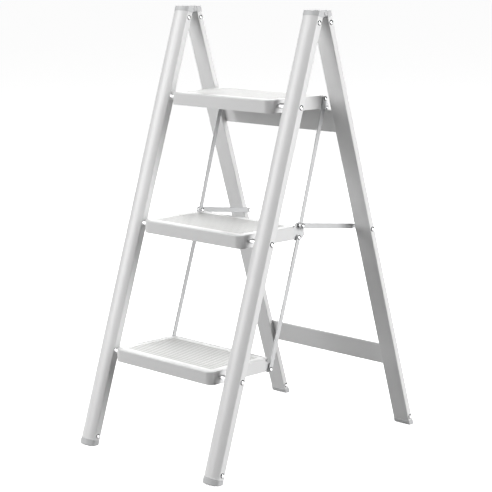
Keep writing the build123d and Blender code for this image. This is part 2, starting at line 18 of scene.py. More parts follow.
import bmesh
import bpy
import numpy as np
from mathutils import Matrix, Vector

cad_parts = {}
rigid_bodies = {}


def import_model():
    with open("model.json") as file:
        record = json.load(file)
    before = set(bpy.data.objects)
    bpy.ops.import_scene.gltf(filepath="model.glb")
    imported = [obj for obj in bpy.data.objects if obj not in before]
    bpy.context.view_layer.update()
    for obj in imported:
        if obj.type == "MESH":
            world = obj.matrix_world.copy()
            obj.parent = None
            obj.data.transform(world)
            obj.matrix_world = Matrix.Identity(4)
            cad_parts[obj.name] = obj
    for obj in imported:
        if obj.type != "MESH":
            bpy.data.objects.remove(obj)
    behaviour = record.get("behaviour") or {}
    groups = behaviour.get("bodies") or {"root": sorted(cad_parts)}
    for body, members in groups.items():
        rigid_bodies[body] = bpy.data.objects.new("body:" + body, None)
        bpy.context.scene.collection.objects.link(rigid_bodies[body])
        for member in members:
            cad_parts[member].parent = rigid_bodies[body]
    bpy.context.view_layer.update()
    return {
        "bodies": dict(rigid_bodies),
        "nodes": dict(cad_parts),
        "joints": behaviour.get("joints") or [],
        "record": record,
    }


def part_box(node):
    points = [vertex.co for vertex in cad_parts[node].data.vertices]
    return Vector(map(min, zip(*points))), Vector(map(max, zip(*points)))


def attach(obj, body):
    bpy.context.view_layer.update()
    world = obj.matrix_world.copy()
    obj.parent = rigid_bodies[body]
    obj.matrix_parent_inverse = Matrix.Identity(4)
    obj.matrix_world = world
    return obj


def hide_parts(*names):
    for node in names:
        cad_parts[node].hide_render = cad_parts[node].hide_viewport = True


LOG = logging.getLogger("step_stool")
MM = 0.001
WELD = 0.004 * MM  # points closer than this are one point
TINY = 1e-9  # keeps a division away from zero
Colour = tuple[float, float, float]
Pair = tuple[float, float]
STEPS = ("top", "middle", "bottom")
SIDES = {"left": -1.0, "right": 1.0}


# ---- shader building ----------------------------------------------------------------------------
class Value:
    """A number that varies over a surface; arithmetic on it adds Math nodes."""

    def __init__(self, shader: "Shader", socket: bpy.types.NodeSocket) -> None:
        """Wrap one output socket of a shader's tree."""
        self.shader = shader
        self.socket = socket

    def _join(self, operation: str, first: Any, second: Any) -> "Value":
        """Add one Math node.

        Args:
            operation: the node's operation.
            first: its first operand, a Value or a number.
            second: its second operand.
        Returns:
            The node's result.
        """
        return self.shader.node("ShaderNodeMath", {"operation": operation}, {0: first, 1: second})

    def __add__(self, other: Any) -> "Value":
        """self + other."""
        return self._join("ADD", self, other)

    def __radd__(self, other: Any) -> "Value":
        """other + self."""
        return self._join("ADD", other, self)

    def __sub__(self, other: Any) -> "Value":
        """self - other."""
        return self._join("SUBTRACT", self, other)

    def __rsub__(self, other: Any) -> "Value":
        """other - self."""
        return self._join("SUBTRACT", other, self)

    def __mul__(self, other: Any) -> "Value":
        """self * other."""
        return self._join("MULTIPLY", self, other)


Number = Union[Value, float]


class Shader:
    """One material's node tree, with the few building blocks that the finishes share."""

    def __init__(self, name: str) -> None:
        """Start a material with a Principled shader on its output.

        Args:
            name: the material's name.
        """
        self.material = bpy.data.materials.new(name)
        self.material.use_nodes = True
        self.tree = self.material.node_tree
        self.tree.nodes.clear()
        output = self.tree.nodes.new("ShaderNodeOutputMaterial")
        self.surface = self.tree.nodes.new("ShaderNodeBsdfPrincipled")
        self.tree.links.new(self.surface.outputs["BSDF"], output.inputs["Surface"])
        self.place = self.node("ShaderNodeTexCoord", {}, {}, "Object")

    def _socket(self, sockets: Any, key: Union[int, str]) -> bpy.types.NodeSocket:
        """Find a socket by its place, identifier or name.

        Args:
            sockets: a node's inputs or outputs.
            key: an index, an identifier or a name.
        Returns:
            The socket.
        """
        if isinstance(key, int):
            return sockets[key]
        found = [s for s in sockets if s.identifier == key]
        return found[0] if found else sockets[key]

    def feed(self, socket: bpy.types.NodeSocket, value: Any) -> None:
        """Link a Value to a socket, or set the socket to a plain number or colour.

        Args:
            socket: the input to feed.
            value: a Value, a number, or a sequence of numbers.
        """
        if isinstance(value, Value):
            self.tree.links.new(value.socket, socket)
        elif isinstance(value, (int, float)):
            socket.default_value = float(value)
        elif socket.type == "RGBA":
            socket.default_value = (*value[:3], 1.0)
        else:
            socket.default_value = value

    def node(
        self,
        kind: str,
        settings: Mapping[str, Any],
        inputs: Mapping[Union[int, str], Any],
        output: Union[int, str] = 0,
    ) -> Value:
        """Add any node: its settings first, then its inputs.

        Args:
            kind: the node's type.
            settings: properties of the node, set before its inputs.
            inputs: values or links by socket.
            output: the socket to hand back.
        Returns:
            The chosen output.
        """
        made = self.tree.nodes.new(kind)
        for key, value in settings.items():
            setattr(made, key, value)
        for key, value in inputs.items():
            self.feed(self._socket(made.inputs, key), value)
        return Value(self, self._socket(made.outputs, output))

    def noise(
        self, scale: float, detail: float = 2.0, stretch: Sequence[float] = (1, 1, 1)
    ) -> Value:
        """Cloudy noise over object space, stretched by axis; about 0.5 on average.

        Args:
            scale: cycles per metre.
            detail: octaves.
            stretch: factors on the three axes; a small one draws the noise out along that axis.
        Returns:
            The noise value.
        """
        where = self.node("ShaderNodeMapping", {}, {"Vector": self.place, "Scale": stretch})
        inputs = {"Vector": where, "Scale": scale, "Detail": detail}
        return self.node("ShaderNodeTexNoise", {}, inputs, "Fac")

    def ramp(self, value: Value, low: float, high: float) -> Value:
        """0 below low, 1 above high, a straight climb between.

        Args:
            value: what is looked up.
            low: start of the climb.
            high: end of the climb.
        Returns:
            The looked-up level.
        """
        level = self.node("ShaderNodeValToRGB", {}, {"Fac": value}, "Color")
        black, white = level.socket.node.color_ramp.elements
        black.position = low
        white.position = high
        return level

    def attribute(self, name: str) -> Value:
        """Read a number that is stored at a piece's points.

        Args:
            name: the attribute's name.
        Returns:
            The number.
        """
        return self.node("ShaderNodeAttribute", {"attribute_name": name}, {}, "Fac")

    def blend(self, factor: Number, first: Any, second: Any) -> Value:
        """Mix two colours.

        Args:
            factor: share of the second colour.
            first: a colour or a linked colour.
            second: the other one.
        Returns:
            The mixed colour.
        """
        inputs = {"Factor_Float": factor, "A_Color": first, "B_Color": second}
        return self.node("ShaderNodeMix", {"data_type": "RGBA"}, inputs, "Result_Color")

    def bump(
        self, height: Value, strength: float, distance: float, under: Optional[Value] = None
    ) -> Value:
        """Turn a height into a surface normal.

        Args:
            height: the height, about 0 to 1.
            strength: share of the effect.
            distance: metres that a height of 1 stands for.
            under: a bump that this one lies on.
        Returns:
            The normal.
        """
        inputs: dict[Union[int, str], Any] = {
            "Height": height,
            "Strength": strength,
            "Distance": distance,
        }
        if under is not None:
            inputs["Normal"] = under
        return self.node("ShaderNodeBump", {}, inputs, "Normal")

    def set(self, **values: Any) -> None:
        """Feed the Principled shader; Base_Color stands for Base Color and so on."""
        for key, value in values.items():
            self.feed(self.surface.inputs[key.replace("_", " ")], value)


# ---- finishes ------------------------------------------------------------------------------------
@dataclass(frozen=True)
class Noise:
    """Cloudy noise; a window turns it into patches, with 0 below it and 1 above."""

    scale: float
    detail: float
    stretch: tuple[float, float, float] = (1.0, 1.0, 1.0)
    window: Optional[Pair] = None

    def on(self, shader: Shader) -> Value:
        """Build the noise on a shader.

        Args:
            shader: the shader.
        Returns:
            The noise's level.
        """
        level = shader.noise(self.scale, self.detail, self.stretch)
        return shader.ramp(level, *self.window) if self.window else level


@dataclass(frozen=True)
class Finish:
    """A finish that a material slot of the record is dressed in."""

    slot: str
    colour: Colour

    def tone(self, factor: float) -> Colour:
        """Make a darker tone of the finish's colour, as plain numbers.

        Args:
            factor: what each channel is multiplied by.
        Returns:
            The tone.
        """
        return (self.colour[0] * factor, self.colour[1] * factor, self.colour[2] * factor)

    def paint(self, shader: Shader) -> None:
        """Build the finish; each kind of finish has its own way.

        Args:
            shader: the shader to build it on.
        """
        raise NotImplementedError

    def material(self) -> bpy.types.Material:
        """Make the material, named after its slot.

        Returns:
            The material.
        """
        shader = Shader(self.slot)
        self.paint(shader)
        return shader.material


@dataclass(frozen=True)
class PowderCoat(Finish):
    """Baked satin coat: fine orange peel, faint clouding, specks, and rubs where it is handled."""

    gloss: float = 0.36
    clouds: Noise = Noise(7.0, 3.0)
    specks: Noise = Noise(1500.0, 1.0, window=(0.70, 0.76))
    rubs: Noise = Noise(30.0, 6.0, (1.0, 1.0, 0.12), (0.66, 0.80))
    peel: Noise = Noise(620.0, 2.0)
    grain: Noise = Noise(3600.0, 2.0)
    peel_height: float = 0.12 * MM
    grain_height: float = 0.03 * MM

    def paint(self, shader: Shader) -> None:
        """Cloud the colour a little, add specks and rubs, and lay orange peel over fine grain."""
        cloud = self.clouds.on(shader)
        rub = self.rubs.on(shader)
        clouded = shader.blend(cloud, self.tone(0.972), self.colour)
        worn = shader.blend(rub * 0.22, clouded, self.tone(0.80))
        grain = shader.bump(self.grain.on(shader), 0.10, self.grain_height)
        shader.set(
            Base_Color=shader.blend(self.specks.on(shader) * 0.25, worn, self.tone(0.72)),
            Roughness=self.gloss + (cloud - 0.5) * 0.10 + rub * 0.12,
            Coat_Weight=0.12 - rub * 0.10,
            Coat_Roughness=0.18,
            Normal=shader.bump(self.peel.on(shader), 0.16, self.peel_height, grain),
        )


@dataclass(frozen=True)
class SilverCoat(Finish):
    """Thin metallic lacquer on flat bar: faint draw lines along the bar and dull rubbed spots."""

    draw_lines: Noise = Noise(900.0, 3.0, (1.0, 1.0, 0.02))
    clouds: Noise = Noise(14.0, 3.0)
    nicks: Noise = Noise(220.0, 3.0, window=(0.72, 0.80))
    line_height: float = 0.02 * MM

    def paint(self, shader: Shader) -> None:
        """Draw fine lines along the upright bars and vary how metallic and rough the lacquer is."""
        lines = self.draw_lines.on(shader)
        cloud = self.clouds.on(shader)
        nick = self.nicks.on(shader)
        clouded = shader.blend(cloud, self.tone(0.97), self.colour)
        shader.set(
            Base_Color=shader.blend(nick * 0.2, clouded, self.tone(0.80)),
            Metallic=0.14 + cloud * 0.06,
            Roughness=0.42 + (lines - 0.5) * 0.06 + nick * 0.06,
            Normal=shader.bump(lines, 0.04, self.line_height),
        )


@dataclass(frozen=True)
class Chrome(Finish):
    """Polished plated steel with a hair of polishing haze, and a painted dark reflection round each
    head's rim.
    """

    hazes: Noise = Noise(240.0, 3.0)
    hairs: Noise = Noise(900.0, 4.0, (0.08, 1.0, 1.0), (0.62, 0.72))
    hair_height: float = 0.02 * MM

    def paint(self, shader: Shader) -> None:
        """Haze the polish in patches, scratch it finely, and paint a dark reflection by the rim
        attribute.
        """
        haze = self.hazes.on(shader)
        hair = self.hairs.on(shader)
        polish = shader.blend(haze, self.tone(0.90), self.colour)
        shader.set(
            # rim attribute: painted dark reflection, near black, round each head's rim
            Base_Color=shader.blend(shader.attribute("rim"), polish, self.tone(0.10)),
            Metallic=1.0,
            Roughness=0.07 + haze * 0.07 + hair * 0.12,
            Normal=shader.bump(hair, 0.05, self.hair_height),
        )


@dataclass(frozen=True)
class ZincSteel(Finish):
    """Bright zinc on turned steel: soft spangle and turning lines round the axis."""

    spangles: Noise = Noise(420.0, 2.0)
    turning_lines: Noise = Noise(2600.0, 1.0, (1.0, 0.05, 0.05))
    line_height: float = 0.04 * MM

    def paint(self, shader: Shader) -> None:
        """Cloud the zinc and lay turning lines across the axis."""
        spangle = self.spangles.on(shader)
        lines = self.turning_lines.on(shader)
        shader.set(
            Base_Color=shader.blend(spangle, self.tone(0.82), self.colour),
            Metallic=0.85,
            Roughness=0.26 + spangle * 0.12 + (lines - 0.5) * 0.10,
            Normal=shader.bump(lines, 0.10, self.line_height),
        )


@dataclass(frozen=True)
class Moulded(Finish):
    """Injection-moulded plastic or hard rubber: fine spark grain, flow clouding and dull scuffs."""

    gloss: float = 0.46
    flows: Noise = Noise(38.0, 3.0)
    sparks: Noise = Noise(2300.0, 2.0)
    scuffs: Noise = Noise(160.0, 5.0, (1.0, 1.0, 0.4), (0.60, 0.74))
    grain_height: float = 0.05 * MM

    def paint(self, shader: Shader) -> None:
        """Grain the surface, cloud the colour, and dull it in scuffed patches."""
        grain = self.sparks.on(shader)
        scuff = self.scuffs.on(shader)
        clouded = shader.blend(self.flows.on(shader), self.tone(0.93), self.colour)
        shader.set(
            Base_Color=shader.blend(scuff * 0.35, clouded, self.tone(0.78)),
            Roughness=self.gloss + (grain - 0.5) * 0.12 + scuff * 0.14,
            Normal=shader.bump(grain, 0.30, self.grain_height),
        )


@dataclass(frozen=True)
class RibbedSheet(Finish):
    """Moulded anti-slip sheet: matt grooves with painted shade, glossier rib crowns and a softly
    trodden middle.
    """

    # groove colour, darker than the sheet: painted shade in the grooves
    groove: Colour = (0.60, 0.605, 0.585)
    wear: Noise = Noise(60.0, 4.0)
    grains: Noise = Noise(1900.0, 2.0)
    clouds: Noise = Noise(18.0, 3.0)
    grain_height: float = 0.04 * MM

    def paint(self, shader: Shader) -> None:
        """Read the rib and tread attributes for gloss and tone, the grooves darkened as painted
        shade, and grain the whole sheet.
        """
        crown = shader.attribute("crown")
        trodden = shader.attribute("trodden") * self.wear.on(shader)
        grain = self.grains.on(shader)
        sheet = shader.blend(self.clouds.on(shader), self.tone(0.97), self.colour)
        # low crowns take the groove colour: painted shade in the grooves
        ribbed = shader.blend(crown, self.groove, sheet)
        shader.set(
            Base_Color=shader.blend(trodden * 0.30, ribbed, self.tone(0.84)),
            Roughness=0.46 - crown * 0.16 + trodden * 0.08 + (grain - 0.5) * 0.06,
            Normal=shader.bump(grain, 0.16, self.grain_height),
        )


@dataclass(frozen=True)
class FloorPaint(Finish):
    """Seamless pale studio floor with the faintest mottle and a soft glow of its own."""

    glow: float = 0.97
    mottles: Noise = Noise(5.0, 4.0)

    def paint(self, shader: Shader) -> None:
        """Mottle the floor's colour and gloss a little, and let it glow evenly."""
        mottle = self.mottles.on(shader)
        shader.set(
            Base_Color=shader.blend(mottle, self.tone(0.992), self.colour),
            Roughness=0.70 + (mottle - 0.5) * 0.08,
            Specular_IOR_Level=0.2,
            Emission_Color=(1.0, 1.0, 1.0),
            Emission_Strength=self.glow,
        )


FINISHES: tuple[Finish, ...] = (
    PowderCoat("frame_white", (0.79, 0.79, 0.79)),
    PowderCoat("step_white", (0.74, 0.74, 0.74), gloss=0.34),
    PowderCoat("bracket_white", (0.68, 0.685, 0.69), gloss=0.40),
    RibbedSheet("tread_white", (0.93, 0.93, 0.925)),
    SilverCoat("link_silver", (0.56, 0.565, 0.57)),
    Chrome("rivet_chrome", (0.80, 0.80, 0.81)),
    Moulded("cap_grey", (0.60, 0.605, 0.61), gloss=0.42),
    Moulded("foot_grey", (0.60, 0.605, 0.61)),
    Moulded("pad_rubber", (0.10, 0.10, 0.105), gloss=0.62),
    ZincSteel("spacer_steel", (0.74, 0.74, 0.745)),
)


class Wardrobe:
    """The made materials by slot, and the two ways in which a piece is dressed in one."""

    def __init__(self, finishes: Sequence[Finish]) -> None:
        """Make every material once.

        Args:
            finishes: the finishes, one a slot.
        """
        self.made = {finish.slot: finish.material() for finish in finishes}

    def dress_node(self, node: bpy.types.Object, slot: str) -> None:
        """Put a slot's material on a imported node, whose mesh is left as it is.

        Args:
            node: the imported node's object.
            slot: the material slot.
        """
        node.data.materials.clear()
        node.data.materials.append(self.made[slot])
        LOG.info("node %s dressed in %s", node.name, slot)

    def dress_piece(self, piece: bpy.types.Object, slot: str, body: str, *nodes: str) -> None:
        """Dress a new piece, hang it on its body and let it stand for the nodes it replaces.

        Args:
            piece: the new object.
            slot: the material slot.
            body: the body that it moves with.
            nodes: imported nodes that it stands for.
        """
        piece.data.materials.append(self.made[slot])
        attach(piece, body)
        if nodes:
            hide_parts(*nodes)
        LOG.info("piece %s on %s, %d faces", piece.name, body, len(piece.data.polygons))


# ---- surfaces -----------------------------------------------------------------------------------
class Shell:
    """Surface patches that are welded into one closed mesh."""

    def __init__(self, name: str) -> None:
        """Start an empty shell.

        Args:
            name: the name of the object that it becomes.
        """
        self.name = name
        self.points: list[np.ndarray] = []
        self.faces: list[list[int]] = []
        self.marks: dict[str, list[np.ndarray]] = {}
        self.count = 0

    def _add(self, points: np.ndarray, marks: Mapping[str, np.ndarray]) -> int:
        """Store points with their marks.

        Args:
            points: an array of points, three columns.
            marks: named numbers, one a point.
        Returns:
            The index of the first of them.
        """
        first = self.count
        self.points.append(points)
        for name in set(self.marks) | set(marks):
            column = self.marks.setdefault(name, [np.zeros(first)] if first else [])
            column.append(np.asarray(marks.get(name, np.zeros(len(points))), float).reshape(-1))
        self.count += len(points)
        return first

    def patch(self, grid: np.ndarray, closed: bool = False, **marks: np.ndarray) -> "Shell":
        """Add a grid of points as quads.

        Args:
            grid: points shaped (rows, columns, 3).
            closed: whether each row runs round and meets its own start.
            marks: named numbers shaped (rows, columns).
        Returns:
            The shell itself.
        """
        rows, columns = grid.shape[:2]
        first = self._add(grid.reshape(-1, 3), marks)
        index = np.arange(rows * columns).reshape(rows, columns) + first
        if closed:
            index = np.concatenate([index, index[:, :1]], axis=1)
        quads = np.stack([index[:-1, :-1], index[:-1, 1:], index[1:, 1:], index[1:, :-1]], axis=-1)
        self.faces.extend(quads.reshape(-1, 4).tolist())
        return self

    def fan(self, ring: np.ndarray, **marks: np.ndarray) -> "Shell":
        """Close a ring with triangles to its middle.

        Args:
            ring: points shaped (columns, 3).
            marks: named numbers, one a ring point.
        Returns:
            The shell itself.
        """
        padded = {name: np.append(values, values.mean()) for name, values in marks.items()}
        first = self._add(np.vstack([ring, ring.mean(axis=0)]), padded)
        around = np.arange(len(ring))
        middle = np.full(len(ring), len(ring))
        triangles = np.stack([around, np.roll(around, -1), middle], axis=-1) + first
        self.faces.extend(triangles.tolist())
        return self

    def build(self, sharp: float = 40.0) -> bpy.types.Object:
        """Weld the patches, turn every face outwards, and shade smoothly except at sharp edges.

        Args:
            sharp: angle in degrees above which an edge stays crisp.
        Returns:
            The object, at the origin.
        """
        mesh = bpy.data.meshes.new(self.name)
        mesh.from_pydata(np.concatenate(self.points).tolist(), [], self.faces)
        for name, columns in self.marks.items():
            layer = mesh.attributes.new(name, "FLOAT", "POINT")
            layer.data.foreach_set("value", np.concatenate(columns).astype(np.float32))
        work = bmesh.new()
        work.from_mesh(mesh)
        bmesh.ops.remove_doubles(work, verts=work.verts, dist=WELD)
        bmesh.ops.recalc_face_normals(work, faces=work.faces)
        work.to_mesh(mesh)
        work.free()
        mesh.polygons.foreach_set("use_smooth", np.ones(len(mesh.polygons), bool))
        mesh.set_sharp_from_angle(angle=math.radians(sharp))
        mesh.update()
        made = bpy.data.objects.new(self.name, mesh)
        bpy.context.scene.collection.objects.link(made)
        return made


def smooth_step(values: np.ndarray) -> np.ndarray:
    """Ease from 0 to 1: three squares less two cubes of the value held between 0 and 1.

    Args:
        values: the values to ease.
    Returns:
        The eased values.
    """
    held = np.clip(values, 0.0, 1.0)
    return held * held * (3.0 - 2.0 * held)


@dataclass(frozen=True)
class TubeLine:
    """The rivet line of a rail or leg, from its hinge cap down to its foot."""

    head: np.ndarray
    foot: np.ndarray

    @classmethod
    def between(cls, head_node: str, foot_node: str) -> "TubeLine":
        """Take the line through the middles of two nodes of rivets.

        Args:
            head_node: the rivets at the hinge cap.
            foot_node: the rivets at the foot.
        Returns:
            The line in the middle plane.
        """
        middles = [sum(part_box(node), Vector()) / 2 for node in (head_node, foot_node)]
        return cls(np.array(middles[0]), np.array(middles[1]))

    @property
    def down(self) -> np.ndarray:
        """Unit vector down the tube."""
        run = self.foot - self.head
        return run / np.linalg.norm(run)

    @property
    def front(self) -> np.ndarray:
        """Unit vector square to the tube, towards the user."""
        return -np.cross((1.0, 0.0, 0.0), self.down)


# ---- sub-assemblies -----------------------------------------------------------------------------
@dataclass
class Boots:
    """The four moulded boots: a plug up the tube, a lipped collar, and a wavy sole cut level."""

    half_width: float = 19.5 * MM
    half_depth: float = 6.0 * MM
    bulge: float = 5.5 * MM
    wall: float = 1.45 * MM
    plug: float = 34.0 * MM
    collar: float = 8.0 * MM  # from the foot rivet down to the tube's end
    front_ease: float = 3.2 * MM
    rear_ease: float = 2.0 * MM
    groove: float = 1.1 * MM
    groove_pitch: float = 8.1 * MM
    wander: float = 0.9 * MM
    wander_pitch: float = 9.0 * MM
    wave_fade: float = 3.0 * MM
    columns: int = 121
    sole_rows: int = 13
    settle_rounds: int = 3
    crease: float = 50.0

    # millimetres: how far past the tube's end, and how far outside its surface
    COLLAR_TOP: ClassVar[tuple[Pair, ...]] = ((0.0, 0.0), (0.15, 0.55), (0.5, 0.8), (2.2, 0.8))
    COLLAR_LINE: ClassVar[tuple[Pair, ...]] = ((2.45, 0.45), (2.85, 0.45), (3.1, 0.8), (5.0, 0.8))
    # millimetres: how far above the sole's waves, and how far outside the tube's surface
    SOLE_EDGE: ClassVar[tuple[Pair, ...]] = (
        (3.0, 0.8),
        (1.2, 0.75),
        (0.5, 0.5),
        (0.15, 0.2),
        (0.0, -0.1),
    )

    def _section(self, grow: float, curved: bool) -> np.ndarray:
        """Outline of a section: x on a sine sweep, a front that is an arc or flat, a flat back.

        The corners follow a quarter circle: the edge drops by r - sqrt(r^2 - (|x| - w + r)^2).

        Args:
            grow: how far outside the tube's surface it lies.
            curved: whether the front bulges, as on a front rail.
        Returns:
            Points (x, towards the user), shaped (2 * columns, 2), front first.
        """
        width = self.half_width + grow
        x = width * np.sin(np.linspace(-0.5, 0.5, self.columns) * math.pi)
        depth = self.half_depth + grow
        face = np.full_like(x, depth)
        if curved:
            radius = (self.half_width**2 + self.bulge**2) / (2 * self.bulge) + grow
            crown = self.half_depth + self.bulge + grow
            face = crown - radius + np.sqrt(np.maximum(radius**2 - x**2, 0.0))
        drops = []
        for ease in (self.front_ease, self.rear_ease):
            past = np.clip(np.abs(x) - width + ease, 0.0, ease)
            drops.append(ease - np.sqrt(np.maximum(ease**2 - past**2, 0.0)))
        forward = np.stack([x, face - drops[0]], axis=-1)
        backward = np.stack([x[::-1], -depth + drops[1][::-1]], axis=-1)
        return np.concatenate([forward, backward])

    def _tread_height(self, x: np.ndarray, y: np.ndarray) -> np.ndarray:
        """Height of the sole: a squared raised cosine across x whose crests wander with y.

        Args:
            x: distances across from the boot's middle.
            y: distances from the origin towards the rear.
        Returns:
            Heights over the floor.
        """
        wander = self.wander * np.sin(y * (2 * math.pi / self.wander_pitch))
        wave = 0.5 + 0.5 * np.cos((x + wander) * (2 * math.pi / self.groove_pitch))
        return self.groove * wave**2

    def _ring(self, line: TubeLine, middle: float, section: np.ndarray, along: float) -> np.ndarray:
        """Carry a section to a place along the tube.

        Args:
            line: the rivet line of the tube.
            middle: X of the tube's middle.
            section: the section's points, shaped (n, 2).
            along: distance down the tube from the foot rivet.
        Returns:
            The ring's points, shaped (n, 3).
        """
        start = line.foot + line.down * along
        flat = start + section[:, 1:] * line.front
        none = 0 * section[:, 0]
        return flat + np.stack([section[:, 0] + middle, none, none], axis=-1)

    def _to_height(
        self, line: TubeLine, ring: np.ndarray, middle: float, above: float
    ) -> np.ndarray:
        """Slide a ring's points down the tube until they are so far above the sole's waves.

        Args:
            line: the rivet line of the tube.
            ring: the points, shaped (n, 3).
            middle: X of the tube's middle.
            above: the height over the waves.
        Returns:
            The slid points.
        """
        fade = 1.0 - min(above / self.wave_fade, 1.0)
        for _ in range(self.settle_rounds):
            target = above + fade * self._tread_height(ring[:, 0] - middle, ring[:, 1])
            ring = ring + ((target - ring[:, 2]) / line.down[2])[:, None] * line.down
        return ring

    def _boot(self, name: str, line: TubeLine, middle: float, curved: bool) -> bpy.types.Object:
        """Model one boot as rings from the plug's top to the floor, closed by the sole.

        Args:
            name: the object's name.
            line: the rivet line of its tube.
            middle: X of the tube's middle.
            curved: whether the tube is a front rail.
        Returns:
            The boot.
        """
        inner = self._section(-self.wall, curved)
        rings = [self._ring(line, middle, inner, self.collar - self.plug)]
        rings.append(self._ring(line, middle, inner, self.collar))
        for along, grow in self.COLLAR_TOP + self.COLLAR_LINE:
            section = self._section(grow * MM, curved)
            rings.append(self._ring(line, middle, section, self.collar + along * MM))
        for above, grow in self.SOLE_EDGE:
            ring = self._ring(line, middle, self._section(grow * MM, curved), self.collar)
            rings.append(self._to_height(line, ring, middle, above * MM))
        share = np.linspace(0.0, 1.0, self.sole_rows)[:, None, None]
        front, back = rings[-1][: self.columns], rings[-1][self.columns:][::-1]
        sole = front * (1.0 - share) + back * share
        inside = sole[1:-1]
        inside[..., 2] = self._tread_height(inside[..., 0] - middle, inside[..., 1])
        shell = Shell(name).patch(np.array(rings), closed=True).fan(rings[0]).patch(sole)
        return shell.build(self.crease)

    def build(self, wardrobe: Wardrobe) -> None:
        """Make the front pair and the rear pair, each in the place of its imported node.

        Args:
            wardrobe: the materials.
        """
        for end, curved, body in (("front", True, "front_frame"), ("rear", False, "rear_frame")):
            line = TubeLine.between(f"{end}_cap_rivets", f"{end}_foot_rivets")
            for side in SIDES:
                low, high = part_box(f"{end}_foot_{side}")
                middle = (low.x + high.x) / 2
                boot = self._boot(f"{end}_boot_{side}", line, middle, curved)
                wardrobe.dress_piece(boot, "foot_grey", body, f"{end}_foot_{side}")


